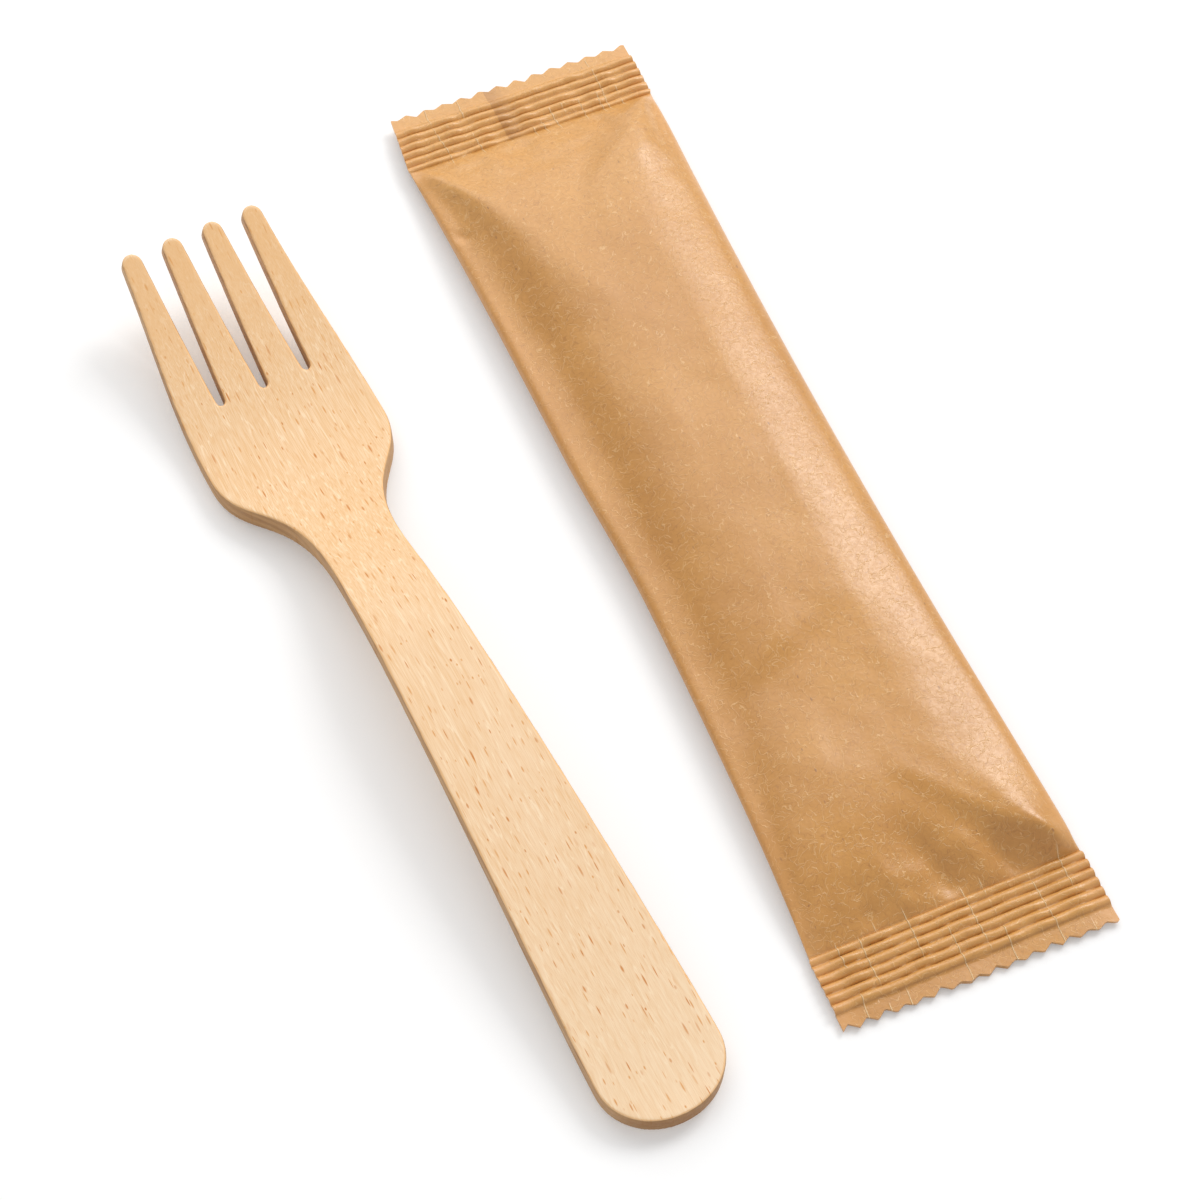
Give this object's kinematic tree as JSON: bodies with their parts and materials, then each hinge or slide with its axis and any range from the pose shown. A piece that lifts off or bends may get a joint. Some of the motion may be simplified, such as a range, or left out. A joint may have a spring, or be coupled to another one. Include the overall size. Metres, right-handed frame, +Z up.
{
  "type": "wooden cutlery pack",
  "caption": "Pressed wooden fork lying beside its sealed kraft paper sachet with crimped, pinked ends.",
  "frame": {"origin": "middle of the pack's footprint, on the surface it lies on", "axes": "+Y along the sachet towards its top seal and the fork's tines, +Z up, fork on the -X side"},
  "size_m": [0.0924, 0.1758, 0.0135],
  "materials": {
    "pale_wood": "sanded, uncoated",
    "kraft_paper": "machine glazed, slight sheen"
  },
  "bodies": {
    "root": {"wooden_fork": "pale_wood", "paper_sachet": "kraft_paper"}
  },
  "joints": []
}
